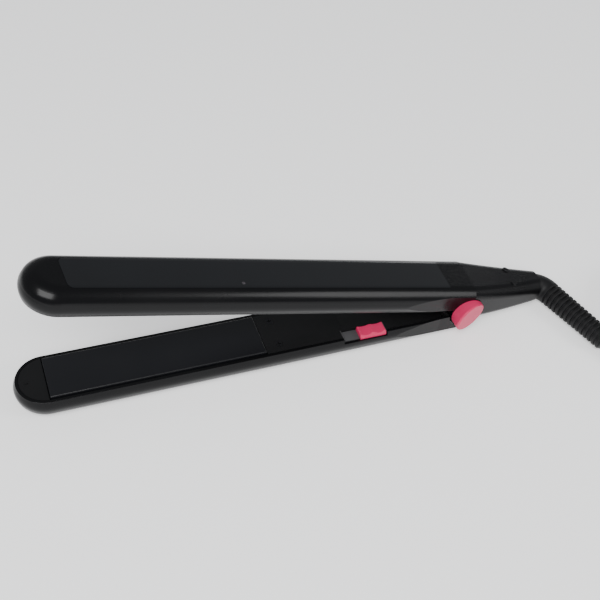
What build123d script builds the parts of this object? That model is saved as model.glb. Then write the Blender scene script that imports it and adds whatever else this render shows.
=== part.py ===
from build123d import *
import math
import os

# Flat iron: two slim arms on one hinge, each with a floating heat plate, a slide switch in the
# lower arm's edge, and a mains cord leaving the upper arm's tail through a ribbed strain relief.
# All sizes are in millimetres. An arm is drawn closed, in a frame of its own: the hinge axis is Y
# through the origin, the nose points to -X, and the arms meet at z = 0. The lower arm is drawn as
# an upper one and mirrored. place_upper() and place_lower() then open the iron and set it down.

# Driving sizes of both arms
ARM_WIDTH = 32.6  # across the fullest part of an arm
ARM_DEPTH = 14.6  # from the parting plane to an arm's flat back
BACK_WIDTH = 21.4
SHOULDER_WIDTH = 29.8
SHOULDER_DEPTH = 10.8
FULLEST_DEPTH = 5.2
RIM_WIDTH = 29.6
RIM_GAP = 1.2  # from the parting plane to an arm's rim
EDGE_ROUND = 7.0  # rounding of the edges along an arm
RIM_ROUND = 0.3
WALL = 1.5
FIT = 0.15  # gap between pieces that are set into each other
OPENING_ANGLE = 14.6  # between the arms at rest, in degrees
CLOSED_GAP = 0.05  # from each plate's face to the parting plane

# Heat plates and what carries them
PLATE_LENGTH = 110.0
PLATE_WIDTH = 25.0
PLATE_THICKNESS = 2.2
PLATE_FRONT = 225.0  # from the hinge axis to the plates' nose end, and the centre of the round nose
PLATE_TRAVEL = 0.8
PLATE_ROUND = 0.7
RAIL_THICKNESS = 1.0
RAIL_HEIGHT = 4.1
LIP = 0.9
LIP_THICKNESS = 0.8
TRAY_WALL = 1.4
TRAY_FLOOR = 1.1
HEATER_SIZE = (96.0, 14.0, 2.0)
CLIP_SIZE = (88.0, 16.4, 0.7)
CUSHION_RADIUS = 3.0
SENSOR_SIZE = (9.0, 4.0, 1.3)

# Back panel and indicator
PANEL_WIDTH = 19.6
PANEL_THICKNESS = 0.8
PANEL_FRONT = 223.0  # from the hinge axis to the middle of the panel's front end
PANEL_SLANT = 0.8
PANEL_CORNER = 3.0
INDICATOR_AT = (-137.0, -6.6)
INDICATOR_RADIUS = 0.9

# Inner covers, the switch and its recess
COVER_THICKNESS = 2.0
COVER_GAP = 0.4  # between a heat plate's hinge end and its inner cover
COVER_REAR = 13.0  # from the hinge axis
COVER_SCREWS_AT = -107.0
COVER_SCREWS_APART = 16.0
COVER_STEP_AT = -71.0  # where the lower cover dips towards the hinge
COVER_DIP = 1.1
DIP_LENGTH = 30.0
RECESS_FRONT = -72.6
RECESS_REAR = -47.8
RECESS_INNER = 7.4  # from the arm's middle to the recess's inner wall
RECESS_DEPTH = 2.4  # below the rim
SLIDER_LENGTH = 14.8
SLIDER_HEIGHT = 2.5
SWITCH_TRAVEL = 5.5
SWITCH_BASE = 0.9

# Hinge
PIN_RADIUS = 2.0
PIN_CLEARANCE = 0.05  # radial
BARREL_RADIUS = 7.8
EAR_RADIUS = 9.5
EAR_GAP = 0.3  # between the knuckle and each ear
KNUCKLE_WIDTH = 15.0
WAIST_WIDTH = 28.4  # across the arms at the hinge
WAIST_FROM = 50.0  # from the hinge axis to where the arms start to narrow
REAR_CLEARANCE = 0.9  # between an ear and the lower arm's rear end
CAP_RADIUS = 9.3
CAP_THICKNESS = 4.2
CAP_BEVEL = 0.8
CAP_SLANT = 20.0  # of the near cap's face, towards the tail, in degrees
FAR_COVER_RADIUS = 6.2
FAR_COVER_THICKNESS = 0.6
SPRING_WIRE = 1.1
SPRING_RADIUS = 4.6
SPRING_TURNS = 2.0
SPRING_LEG = 3.6
HUB_RADIUS = 3.6
HUB_FROM = 2.6  # where the barrel steps down to the hub that the spring sits on
SEAM_AT = -16.0  # where the upper shell meets the tail housing

# Tail
TAIL_LENGTH = 50.0
TAIL_WIDTH = 16.6
TAIL_TOP = 14.3
TAIL_BOTTOM = -1.3
TAIL_COVER_FROM = 13.0
RELIEF_HOLE_RADIUS = 5.0

# Strain relief, cord and plug
ELBOW_RADIUS = 8.5
ELBOW_TURN = 72.0  # in plan, towards the near side, in degrees
ELBOW_START_RADIUS = 7.2
ELBOW_END_RADIUS = 6.9
RELIEF_LEAD = 0.6  # straight length before the elbow
RIBBED_LENGTH = 44.0
RIB_COUNT = 15
RIB_LENGTH = 1.75
RIB_TIP_RADIUS = 6.2
RELIEF_CORE_RADIUS = 5.3
CORD_RADIUS = 3.0

# Screws
SCREW_RADIUS = 1.0
SCREW_HEAD_RADIUS = 2.0
SCREW_HEAD = 1.3
BOSS_RADIUS = 2.4


def block(x0, x1, y0, y1, z0, z1):
    """A box given by its lowest and highest corners."""
    corner = (Align.MIN, Align.MIN, Align.MIN)
    return Pos(x0, y0, z0) * Box(x1 - x0, y1 - y0, z1 - z0, align=corner)


def post(x, y, z0, z1, radius):
    """An upright cylinder."""
    return Pos(x, y, (z0 + z1) / 2) * Cylinder(radius, z1 - z0)


def cross_bar(x, z, y0, y1, radius):
    """A cylinder along Y."""
    return Pos(x, (y0 + y1) / 2, z) * Rot(90, 0, 0) * Cylinder(radius, y1 - y0)


# ---------------------------------------------------------------- the arms' shared shape


def half_section(inset):
    """Half of an arm's section at its middle, drawn with y to the right and z up.

    An inset above 0 gives the hollow that leaves a wall of that thickness, open past the rim.
    """
    rim = RIM_WIDTH / 2 - inset
    bottom = RIM_GAP if inset == 0 else -1.0
    points = [(0, bottom), (rim, bottom)]
    radii = [RIM_ROUND]
    if inset:
        points.append((rim, RIM_GAP))
        radii.append(RIM_ROUND)
    points += [
        (ARM_WIDTH / 2 - inset, FULLEST_DEPTH),
        (SHOULDER_WIDTH / 2 - inset, SHOULDER_DEPTH - inset / 4),
        (BACK_WIDTH / 2 - inset / 3, ARM_DEPTH - inset),
        (0, ARM_DEPTH - inset),
    ]
    radii += [EDGE_ROUND - inset] * 3
    outline = FilletPolyline(*points, radius=radii)
    return make_face(Curve() + [outline, Line(points[-1], points[0])])


def waist(inset):
    """The plan of an arm, narrowing to the hinge, as a tall block that trims the arm."""
    full, narrow = ARM_WIDTH / 2 - inset + 0.2, WAIST_WIDTH / 2 - inset
    nose = -PLATE_FRONT - ARM_WIDTH
    side = [(nose, full), (-WAIST_FROM, full), (SEAM_AT, narrow), (ARM_WIDTH, narrow)]
    points = side + [(x, -y) for x, y in reversed(side)]
    return extrude(make_face(Polyline(*points, close=True)), 2 * ARM_DEPTH)


def arm_block(inset, rear):
    """An arm's outer shape, or its hollow, from the round nose to x = rear."""
    half = half_section(inset)
    whole = half + mirror(half, about=Plane.YZ)
    nose = revolve(Plane.YZ * half, Axis.Z, 180)
    length = PLATE_FRONT + rear
    body = nose + extrude(Plane.YZ * whole, length)
    return (Pos(-PLATE_FRONT, 0, 0) * body) & (Pos(0, 0, -2) * waist(inset))


def screw(x, y, head_at, length):
    """A screw driven away from the parting plane, with a cross recess in its head."""
    shank = post(x, y, head_at, head_at + SCREW_HEAD + length, SCREW_RADIUS)
    head = post(x, y, head_at, head_at + SCREW_HEAD, SCREW_HEAD_RADIUS)
    slot = block(-1.3, 1.3, -0.25, 0.25, -0.1, 0.6)
    cross = Pos(x, y, head_at) * (slot + Rot(0, 0, 90) * slot)
    return shank + head - cross


def boss(x, y, base, radius=BOSS_RADIUS):
    """A hollow post that stands on the inside of an arm's back and takes a screw."""
    return post(x, y, base, ARM_DEPTH - WALL + 0.2, radius) - post(
        x, y, base - 1, ARM_DEPTH - WALL, SCREW_RADIUS
    )


# ---------------------------------------------------------------- heat plate and its carrier

PLATE_BACK = CLOSED_GAP + PLATE_THICKNESS
RAIL_OUTER = PLATE_WIDTH / 2 - 3.1
RAIL_TOP = PLATE_BACK + RAIL_HEIGHT
TRAY_INNER = RAIL_OUTER + LIP + 0.2
TRAY_OUTER = TRAY_INNER + TRAY_WALL
TRAY_LIP_TOP = RAIL_TOP - LIP_THICKNESS - CLOSED_GAP
TRAY_FLOOR_AT = RAIL_TOP + PLATE_TRAVEL + 0.1
TRAY_TOP = TRAY_FLOOR_AT + TRAY_FLOOR
TRAY_BASE = PLATE_BACK + PLATE_TRAVEL + 0.3
CLIP_AT = PLATE_BACK + HEATER_SIZE[2]
CUSHION_AT = CLIP_AT + CLIP_SIZE[2]
PLATE_REAR = -PLATE_FRONT + PLATE_LENGTH
PLATE_MIDDLE = -PLATE_FRONT + PLATE_LENGTH / 2
TRAY_ENDS = (-PLATE_FRONT - 3.0, PLATE_REAR + 2.0)
CARRIER_SCREWS_AT = (-PLATE_FRONT + 5.0, PLATE_REAR - 5.0)


def heat_plate():
    """An aluminium plate with rounded edges, and two hooked rails along its back."""
    plate = block(
        -PLATE_FRONT, PLATE_REAR, -PLATE_WIDTH / 2, PLATE_WIDTH / 2, CLOSED_GAP, PLATE_BACK
    )
    plate = fillet(plate.faces().sort_by(Axis.Z)[0].edges(), PLATE_ROUND)
    for side in (-1, 1):
        inner, outer = sorted((side * (RAIL_OUTER - RAIL_THICKNESS), side * RAIL_OUTER))
        plate += block(
            -PLATE_FRONT + 10, PLATE_REAR - 10, inner, outer, PLATE_BACK, RAIL_TOP
        )
        inner, outer = sorted((side * RAIL_OUTER, side * (RAIL_OUTER + LIP)))
        plate += block(
            -PLATE_FRONT + 10, PLATE_REAR - 10, inner, outer, RAIL_TOP - LIP_THICKNESS, RAIL_TOP
        )
    return plate


def heater():
    """A flat ceramic heater with a pair of terminal tabs at its hinge end."""
    length, width, thickness = HEATER_SIZE
    body = Pos(PLATE_MIDDLE, 0, PLATE_BACK + thickness / 2) * Box(length, width, thickness)
    for y in (-4, 4):
        end = PLATE_MIDDLE + length / 2
        body += block(end - 1, end + 5, y - 1.5, y + 1.5, PLATE_BACK + 0.8, PLATE_BACK + 1.3)
    return body


def heater_clip():
    """A pressed spring-steel strip that holds the heater against the plate."""
    length, width, thickness = CLIP_SIZE
    strip = Pos(PLATE_MIDDLE, 0, CLIP_AT + thickness / 2) * Box(length, width, thickness)
    for x in range(-30, 31, 20):
        strip -= Pos(PLATE_MIDDLE + x, 0, CLIP_AT + thickness / 2) * Box(8, 5, 2 * thickness)
    return strip


def plate_cushions():
    """Four silicone cushions between the clip and the tray's floor."""
    spots = [(x, y) for x in (-40, 40) for y in (-5, 5)]
    return Compound([
        post(PLATE_MIDDLE + x, y, CUSHION_AT, TRAY_FLOOR_AT, CUSHION_RADIUS) for x, y in spots
    ])


def heat_sensor(x):
    """A flat thermal sensor lying on the clip."""
    length, width, thickness = SENSOR_SIZE
    return Pos(PLATE_MIDDLE + x, 0, CUSHION_AT + thickness / 2) * Box(length, width, thickness)


def heater_carrier():
    """The heat-proof tray that the plate's rails hook into, with the apron that closes the nose."""
    front, rear = TRAY_ENDS
    tray = block(front, rear, -TRAY_OUTER, TRAY_OUTER, TRAY_FLOOR_AT, TRAY_TOP)
    for side in (-1, 1):
        inner, outer = sorted((side * TRAY_INNER, side * TRAY_OUTER))
        tray += block(front, rear, inner, outer, TRAY_BASE, TRAY_TOP)
        inner, outer = sorted((side * (RAIL_OUTER + 0.2), side * TRAY_INNER))
        tray += block(
            -PLATE_FRONT + 12, PLATE_REAR - 12, inner, outer, TRAY_LIP_TOP - 1.0, TRAY_LIP_TOP
        )
    reach = RIM_WIDTH / 2 - WALL - FIT
    apron = post(-PLATE_FRONT, 0, RIM_GAP, RIM_GAP + 1.6, reach)
    apron &= block(-2 * PLATE_FRONT, -PLATE_FRONT - COVER_GAP, -reach, reach, 0, ARM_DEPTH)
    web = block(front, front + 1.4, -6, 6, RIM_GAP + 1.0, TRAY_FLOOR_AT + 0.2)
    pip = post(-PLATE_FRONT - reach * 0.72, 0, RIM_GAP - 0.35, RIM_GAP + 0.2, 0.9)
    tray += apron + web + pip
    for x in CARRIER_SCREWS_AT:
        tray -= post(x, 0, TRAY_BASE, TRAY_TOP + 1, SCREW_RADIUS + 0.1)
    return tray


def carrier_screws():
    return [screw(x, 0, TRAY_FLOOR_AT - SCREW_HEAD, 2.2) for x in CARRIER_SCREWS_AT]


# ---------------------------------------------------------------- shells and covers


def cover_screw_spots():
    return [(COVER_SCREWS_AT, side * COVER_SCREWS_APART / 2) for side in (-1, 1)]


def bare_shell(rear):
    """An arm's casing with its screw bosses, closed at the nose and open at x = rear."""
    shell = arm_block(0, rear) - arm_block(WALL, rear + 1)
    for x in CARRIER_SCREWS_AT:
        shell += boss(x, 0, TRAY_TOP)
    for x, y in cover_screw_spots():
        shell += boss(x, y, RIM_GAP + COVER_THICKNESS)
    return shell


def inner_cover():
    """The flat cover behind the heat plate, set inside the rim, with two sunk screws."""
    reach = RIM_WIDTH / 2 - WALL - FIT
    front = PLATE_REAR + COVER_GAP
    cover = block(front, -COVER_REAR, -reach, reach, RIM_GAP, RIM_GAP + COVER_THICKNESS)
    cover &= Pos(0, 0, -2) * waist(WALL + FIT)
    for x, y in cover_screw_spots():
        cover -= post(x, y, RIM_GAP - 1, RIM_GAP + SCREW_HEAD, SCREW_HEAD_RADIUS + 0.15)
        cover -= post(x, y, RIM_GAP, RIM_GAP + COVER_THICKNESS + 1, SCREW_RADIUS + 0.1)
    return cover


def cover_screws():
    return [screw(x, y, RIM_GAP, 5.0) for x, y in cover_screw_spots()]


# ---------------------------------------------------------------- upper arm

BOARD_ENDS = (-100.0, -52.0)
BOARD_AT = 5.2
BOARD_THICKNESS = 1.2
BOARD_WIDTH = 19.0
BOARD_SCREWS_AT = (-96.0, -56.0)


def panel_outline(inset):
    """The back panel's plan: a slanted front end with round corners, and a rear end at the seam."""
    half = PANEL_WIDTH / 2 - inset
    near = (-PANEL_FRONT + PANEL_SLANT + inset, -half)
    far = (-PANEL_FRONT - PANEL_SLANT + inset, half)
    front = FilletPolyline(
        (SEAM_AT - inset, -half), near, far, (SEAM_AT - inset, half), radius=PANEL_CORNER
    )
    return make_face(Curve() + [front, Line(front @ 1, front @ 0)])


def gloss_panel():
    panel = Pos(0, 0, ARM_DEPTH - PANEL_THICKNESS) * extrude(panel_outline(FIT), PANEL_THICKNESS)
    panel &= arm_block(0, 0)
    return panel - post(*INDICATOR_AT, 0, 2 * ARM_DEPTH, INDICATOR_RADIUS + 0.05)


def upper_shell():
    shell = bare_shell(SEAM_AT)
    pocket = Pos(0, 0, ARM_DEPTH - PANEL_THICKNESS) * extrude(panel_outline(0), ARM_DEPTH)
    shell -= pocket
    shell -= post(*INDICATOR_AT, 0, 2 * ARM_DEPTH, INDICATOR_RADIUS + 0.05)
    for x in BOARD_SCREWS_AT:
        shell += boss(x, 0, BOARD_AT + BOARD_THICKNESS)
    return shell


def indicator_lens():
    """A clear light pipe, flush with the panel."""
    pipe = post(*INDICATOR_AT, ARM_DEPTH - WALL - 0.5, ARM_DEPTH, INDICATOR_RADIUS)
    return pipe


def indicator_light():
    top = ARM_DEPTH - WALL - 0.5
    x, y = INDICATOR_AT
    return block(x - 1.6, x + 1.6, y - 0.8, y + 0.8, TRAY_TOP + 0.1, top)


def circuit_board():
    front, rear = BOARD_ENDS
    half = BOARD_WIDTH / 2
    board = block(front, rear, -half, half, BOARD_AT, BOARD_AT + BOARD_THICKNESS)
    for x in BOARD_SCREWS_AT:
        board -= post(x, 0, 0, ARM_DEPTH, SCREW_RADIUS + 0.1)
    return board


def board_parts():
    """What is soldered on the board: a film capacitor, a chip, a relay triac, resistors and pads."""
    top = BOARD_AT + BOARD_THICKNESS
    parts = [
        block(-90, -80, -7.5, -1.5, top, top + 3.4),
        block(-76, -66, 0.5, 6.5, top, top + 2.2),
        block(-90, -84, 2, 7, top, top + 1.5),
        block(-74, -69, -6, -2, BOARD_AT - 1.4, BOARD_AT),
    ]
    for x in (-88, -84, -80, -62):
        parts.append(cross_bar(x, BOARD_AT - 0.8, -3, 3, 0.8))
    return Compound(parts)


def board_screws():
    return [screw(x, 0, BOARD_AT - SCREW_HEAD, 4.4) for x in BOARD_SCREWS_AT]


# ---------------------------------------------------------------- tail and hinge

TAIL_MIDDLE = (TAIL_TOP + TAIL_BOTTOM) / 2
EAR_INNER = KNUCKLE_WIDTH / 2 + EAR_GAP
EAR_OUTER = WAIST_WIDTH / 2


def tail_section(x, width, bottom, top, bevel, rounding, inset):
    """One section of the tail: an eight-sided outline with rounded corners."""
    w, b, t = width / 2 - inset, bottom + inset, top - inset
    across, up = bevel
    side = [(w - across, b), (w, b + up), (w, t - up), (w - across, t)]
    points = side + [(-y, z) for y, z in reversed(side)]
    outline = make_face(Polyline(*points, close=True))
    outline = fillet(outline.vertices(), max(0.4, rounding - inset / 2))
    return Plane.YZ.offset(x) * outline


def tail_block(inset, front=0.0, rear=TAIL_LENGTH):
    """The tail from the hinge to its end, or its hollow when there is an inset."""
    middle = TAIL_LENGTH * 0.42
    middle_width = TAIL_WIDTH + (WAIST_WIDTH - TAIL_WIDTH) * 0.62
    sections = [
        tail_section(front, WAIST_WIDTH - 0.2, -EAR_RADIUS + 0.7, ARM_DEPTH - 0.05, (3.9, 3.1), 4.6, inset),
        tail_section(middle, middle_width, -6.4, ARM_DEPTH - 0.7, (4.1, 3.5), 4.8, inset),
        tail_section(rear, TAIL_WIDTH, TAIL_BOTTOM, TAIL_TOP, (4.3, 4.0), 5.0, inset),
    ]
    return loft(sections)


def tail_whole():
    """The hinge end of the upper arm with the tail, before it is split into housing and cover."""
    bridge_room = block(SEAM_AT, 0, -ARM_WIDTH, ARM_WIDTH, 0, 2 * ARM_DEPTH)
    body = (arm_block(0, ARM_WIDTH) - arm_block(WALL, ARM_WIDTH)) & bridge_room
    body += tail_block(0) - tail_block(WALL, rear=TAIL_LENGTH - 2.2)
    for side in (-1, 1):
        y0, y1 = sorted((side * EAR_INNER, side * EAR_OUTER))
        body += cross_bar(0, 0, y0, y1, EAR_RADIUS)
    body -= cross_bar(0, 0, -EAR_INNER, EAR_INNER, EAR_RADIUS)
    return body - cross_hole(TAIL_LENGTH - 4, TAIL_LENGTH + 1, RELIEF_HOLE_RADIUS)


def cross_hole(x0, x1, radius):
    """A cylinder along X on the tail's middle line."""
    return Pos((x0 + x1) / 2, 0, TAIL_MIDDLE) * Rot(0, 90, 0) * Cylinder(radius, x1 - x0)


def bottom_half():
    """The space that the tail's cover fills."""
    return block(TAIL_COVER_FROM, TAIL_LENGTH + 1, -ARM_WIDTH, ARM_WIDTH, -ARM_WIDTH, TAIL_MIDDLE)


COVER_SCREW_X = 16.5
COVER_SCREW_BASE = -4.2
CLAMP_X = 30.0
CLAMP_SCREW_Y = 5.1
CLAMP_BASE = TAIL_MIDDLE - 4.2
CAP_SPIGOT = 1.0
CAP_SPIGOT_RADIUS = 5.0


def tail_housing(whole):
    """The moulding with the hinge ears, the top of the tail and the posts inside it."""
    body = whole - bottom_half()
    body += post(COVER_SCREW_X, 0, COVER_SCREW_BASE, ARM_DEPTH - 2, BOSS_RADIUS) - post(
        COVER_SCREW_X, 0, COVER_SCREW_BASE - 1, COVER_SCREW_BASE + 10, SCREW_RADIUS
    )
    for side in (-1, 1):
        y = side * CLAMP_SCREW_Y
        body += post(CLAMP_X, y, TAIL_MIDDLE - 0.3, TAIL_MIDDLE + 7.7, 1.9) - post(
            CLAMP_X, y, -3, TAIL_MIDDLE + 6.3, SCREW_RADIUS
        )
        y0, y1 = sorted((side * (EAR_OUTER - CAP_SPIGOT), side * (EAR_OUTER + 1)))
        body -= cross_bar(0, 0, y0, y1, CAP_SPIGOT_RADIUS)
    return body - cross_bar(0, 0, -EAR_OUTER, EAR_OUTER, PIN_RADIUS)


def tail_cover(whole):
    """The cover under the tail, held by one screw."""
    body = whole & bottom_half()
    body += post(COVER_SCREW_X, 0, COVER_SCREW_BASE - 2.2, COVER_SCREW_BASE, 3.0)
    body -= post(COVER_SCREW_X, 0, -12, COVER_SCREW_BASE - 1.1, SCREW_HEAD_RADIUS + 0.15)
    return body - post(COVER_SCREW_X, 0, -12, COVER_SCREW_BASE + 1, SCREW_RADIUS + 0.1)


def cord_clamp():
    """A saddle under the cord's end, screwed up into the tail housing."""
    half = CLAMP_SCREW_Y + 1.9
    body = block(CLAMP_X - 2.6, CLAMP_X + 2.6, -half, half, CLAMP_BASE, TAIL_MIDDLE - 0.3)
    body -= cross_hole(CLAMP_X - 4, CLAMP_X + 4, CORD_RADIUS)
    for side in (-1, 1):
        body -= post(CLAMP_X, side * CLAMP_SCREW_Y, -9, 2 * TAIL_TOP, SCREW_RADIUS + 0.1)
    return body


def tail_screws():
    screws = [screw(CLAMP_X, side * CLAMP_SCREW_Y, CLAMP_BASE - SCREW_HEAD, 8.0) for side in (-1, 1)]
    return screws + [screw(COVER_SCREW_X, 0, COVER_SCREW_BASE - 1.1 - SCREW_HEAD, 10.0)]


def cord_end():
    """The end of the cord inside the tail, from the strain relief past its clamp."""
    return cross_hole(CLAMP_X - 8, TAIL_LENGTH - 4.2, CORD_RADIUS)


def lead(points, radius=0.75, bend=2.4):
    """An insulated wire along straight runs with rounded corners."""
    path = FilletPolyline(*points, radius=bend)
    return sweep(Plane(path @ 0, z_dir=path % 0) * Circle(radius), path=path)


def mains_leads():
    """The two wires from the cord's end over the hinge to the board."""
    leads = []
    for side in (-1, 1):
        y = side * 4.0
        height = BOARD_AT + BOARD_THICKNESS / 2
        leads.append(lead([
            (CLAMP_X - 8.6, side * 2.2, TAIL_MIDDLE), (18, y, 6.4), (8, y, 9.5),
            (-14, y, 9.6), (-34, y, height), (BOARD_ENDS[1], y, height),
        ]))
    return leads


def heater_lead(y):
    """A wire from a heater's terminal tab to x = -104, behind the heat plate."""
    start = PLATE_MIDDLE + HEATER_SIZE[0] / 2 + 5.4
    return [(start, y, PLATE_BACK + 1.95), (start + 3, y, PLATE_BACK + 3.2)]


def upper_heater_leads():
    height = BOARD_AT + BOARD_THICKNESS / 2
    return [
        lead(heater_lead(y) + [(BOARD_ENDS[0] - 4, y, height), (BOARD_ENDS[0], y, height)])
        for y in (-4, 4)
    ]


def hinge_pin():
    half = EAR_OUTER - CAP_SPIGOT
    return cross_bar(0, 0, -half, half, PIN_RADIUS)


def hinge_cap():
    """The coloured disc over the near end of the hinge pin, with a slanted face."""
    deepest = CAP_THICKNESS + CAP_RADIUS * math.tan(math.radians(CAP_SLANT)) + 0.5
    disc = cross_bar(0, 0, -EAR_OUTER - deepest, -EAR_OUTER, CAP_RADIUS)
    beyond = block(-2 * CAP_RADIUS, 2 * CAP_RADIUS, -CAP_RADIUS, 0, -2 * CAP_RADIUS, 2 * CAP_RADIUS)
    disc -= Pos(0, -EAR_OUTER - CAP_THICKNESS, 0) * Rot(0, 0, CAP_SLANT) * beyond
    disc = fillet(disc.faces().sort_by(Axis.Y)[0].edges(), CAP_BEVEL)
    return disc + cross_bar(0, 0, -EAR_OUTER, -EAR_OUTER + CAP_SPIGOT, CAP_SPIGOT_RADIUS)


def far_pin_cover():
    """The low round cover over the far end of the hinge pin."""
    disc = cross_bar(0, 0, EAR_OUTER, EAR_OUTER + FAR_COVER_THICKNESS, FAR_COVER_RADIUS)
    disc = fillet(disc.faces().sort_by(Axis.Y)[-1].edges(), FAR_COVER_THICKNESS / 2)
    return disc + cross_bar(0, 0, EAR_OUTER - CAP_SPIGOT, EAR_OUTER, CAP_SPIGOT_RADIUS)


def hinge_spring():
    """A torsion spring round the knuckle's hub, with a leg reaching out to each arm."""
    pitch = SPRING_WIRE + 0.05
    coil = Helix(pitch, pitch * (SPRING_TURNS + 0.5), SPRING_RADIUS)
    wire = sweep(
        Plane(coil @ 0, z_dir=coil % 0) * Circle(SPRING_WIRE / 2), path=coil, is_frenet=True
    )
    for end, side in ((coil @ 0, 1), (coil @ 1, -1)):
        leg = Rot(0, 90, 0) * Cylinder(SPRING_WIRE / 2, SPRING_LEG)
        inward = -0.3 * side  # past the wire's end, so that the leg and the coil join
        wire += Pos(end.X + side * SPRING_LEG / 2 + inward, end.Y + inward, end.Z) * leg
    return Pos(0, HUB_FROM + 0.9, 0) * Rot(-90, 0, 0) * Rot(0, 0, -90) * wire


# ---------------------------------------------------------------- lower arm, drawn as an upper one

COVER_FLOOR_DEPTH = 3.0  # how much deeper the lower cover lies at the hinge than at its step
KNUCKLE_FRONT = -36.0
KNUCKLE_BASE = RIM_GAP + COVER_FLOOR_DEPTH + COVER_THICKNESS + 0.3
KNUCKLE_TOP = ARM_DEPTH - WALL - 0.4
KNUCKLE_SCREWS = [(-29.0, -4.0), (-29.0, 4.0)]
RECESS_FLOOR = RIM_GAP + RECESS_DEPTH
SLIDER_REAR = RECESS_REAR - 0.6
SLIDER_FRONT = SLIDER_REAR - SLIDER_LENGTH
STEM_X = (SLIDER_REAR + SLIDER_FRONT) / 2
STEM_HALF = (1.2, 0.6)
STEM_Y = -10.6
SWITCH_TOP = 8.0


def recess_space(margin, top):
    """The space of the switch's recess, open through the arm's near side."""
    return block(
        RECESS_FRONT - margin, RECESS_REAR + margin, -ARM_WIDTH, -RECESS_INNER + margin, -1, top
    )


def lower_shell():
    shell = bare_shell(-3.0)
    shell -= cross_bar(0, 0, -ARM_WIDTH, ARM_WIDTH, EAR_RADIUS + REAR_CLEARANCE)
    shell -= recess_space(0, RECESS_FLOOR)
    for x, y in KNUCKLE_SCREWS:
        shell += boss(x, y, KNUCKLE_TOP, 1.8)
    return shell


def lower_inner_cover():
    """The lower arm's cover: flat behind the plate, then a step and a ramp down to the hinge."""
    reach = RIM_WIDTH / 2 - WALL - FIT
    front, foot = PLATE_REAR + COVER_GAP, COVER_STEP_AT + DIP_LENGTH
    deep = RIM_GAP + COVER_FLOOR_DEPTH
    outer = [
        (front, RIM_GAP), (COVER_STEP_AT, RIM_GAP), (COVER_STEP_AT, RIM_GAP + COVER_DIP),
        (foot, deep), (-COVER_REAR, deep),
    ]
    inner = [
        (-COVER_REAR, deep + COVER_THICKNESS), (foot - 1, deep + COVER_THICKNESS),
        (COVER_STEP_AT - 1.6, RIM_GAP + COVER_THICKNESS + COVER_DIP - 0.2),
        (COVER_STEP_AT - 1.6, RIM_GAP + COVER_THICKNESS), (front, RIM_GAP + COVER_THICKNESS),
    ]
    side = make_face(Polyline(*outer, *inner, close=True))
    cover = extrude(Plane.XZ * side, reach, both=True)
    cover &= Pos(0, 0, -2) * waist(WALL + FIT)
    for x, y in cover_screw_spots():
        cover -= post(x, y, RIM_GAP - 1, RIM_GAP + SCREW_HEAD, SCREW_HEAD_RADIUS + 0.15)
        cover -= post(x, y, RIM_GAP, RIM_GAP + COVER_THICKNESS + 1, SCREW_RADIUS + 0.1)
    return cover - recess_space(FIT, ARM_DEPTH)


def stem_path(clearance, z0, z1):
    """The slot that the slider's stem needs over its travel."""
    x, y = STEM_HALF
    return block(
        STEM_X - x - SWITCH_TRAVEL - clearance, STEM_X + x + clearance,
        STEM_Y - y - clearance, STEM_Y + y + clearance, z0, z1,
    )


def switch_base():
    """The pale floor of the switch's recess, with a low rib at each end."""
    outer = -(ARM_WIDTH / 2 - WALL - 1.1)
    base = block(
        RECESS_FRONT, RECESS_REAR, outer, -RECESS_INNER, RECESS_FLOOR, RECESS_FLOOR + SWITCH_BASE
    )
    inner = -RECESS_INNER
    for x in (RECESS_FRONT, RECESS_REAR - 0.5):
        base += block(x, x + 0.5, outer, inner, RIM_GAP + 0.6, RECESS_FLOOR)
    return base - stem_path(0.25, 0, ARM_DEPTH)


def switch_body():
    """The slide switch under the recess's floor."""
    body = block(
        STEM_X - 10.5, STEM_X + 6.5, STEM_Y - 1.8, STEM_Y + 2.6,
        RECESS_FLOOR + SWITCH_BASE, SWITCH_TOP,
    )
    return body - stem_path(0.25, 0, SWITCH_TOP - 0.6)


def switch_slider():
    """The coloured slider: two dished lobes with a ridge between them, and a stem."""
    top, bottom = RECESS_FLOOR - 0.15 - SLIDER_HEIGHT, RECESS_FLOOR - 0.15
    near, far = -(ARM_WIDTH / 2 - 1.5), -RECESS_INNER - 0.4
    knob = block(SLIDER_FRONT, SLIDER_REAR, near, far, top, bottom)
    knob = chamfer(knob.edges().filter_by(Axis.X).group_by(Axis.Z)[0].sort_by(Axis.Y)[0], 1.3)
    knob = fillet(knob.edges().filter_by(Axis.Y).group_by(Axis.Z)[0], 0.5)
    for side in (-1, 1):
        x = STEM_X + side * SLIDER_LENGTH * 0.25
        knob -= cross_bar(x, top - 7.4, near - 1, far + 1, 8.0)
    x, y = STEM_HALF
    stem = block(STEM_X - x, STEM_X + x, STEM_Y - y, STEM_Y + y, bottom, SWITCH_TOP - 1.0)
    return knob + stem


def hinge_knuckle():
    """The lower arm's half of the hinge: a barrel with a spring hub, on a foot in the arm."""
    half = KNUCKLE_WIDTH / 2
    barrel = cross_bar(0, 0, -half, HUB_FROM, BARREL_RADIUS)
    hub = cross_bar(0, 0, HUB_FROM, half, HUB_RADIUS)
    foot_side = make_face(Polyline(
        (KNUCKLE_FRONT, KNUCKLE_BASE), (-12, KNUCKLE_BASE), (-6.6, 2.5), (-1, 4),
        (-3, KNUCKLE_TOP), (KNUCKLE_FRONT, KNUCKLE_TOP), close=True,
    ))
    foot = extrude(Plane.XZ * foot_side, half, both=True)
    foot -= block(-11, 5, HUB_FROM, half + 1, -ARM_DEPTH, ARM_DEPTH)
    body = barrel + hub + foot
    for x, y in KNUCKLE_SCREWS:
        body -= post(x, y, 0, ARM_DEPTH, SCREW_RADIUS + 0.1)
        body -= post(x, y, 0, KNUCKLE_BASE + SCREW_HEAD, SCREW_HEAD_RADIUS + 0.15)
    return body - cross_bar(0, 0, -half - 1, half + 1, PIN_RADIUS + PIN_CLEARANCE)


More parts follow.
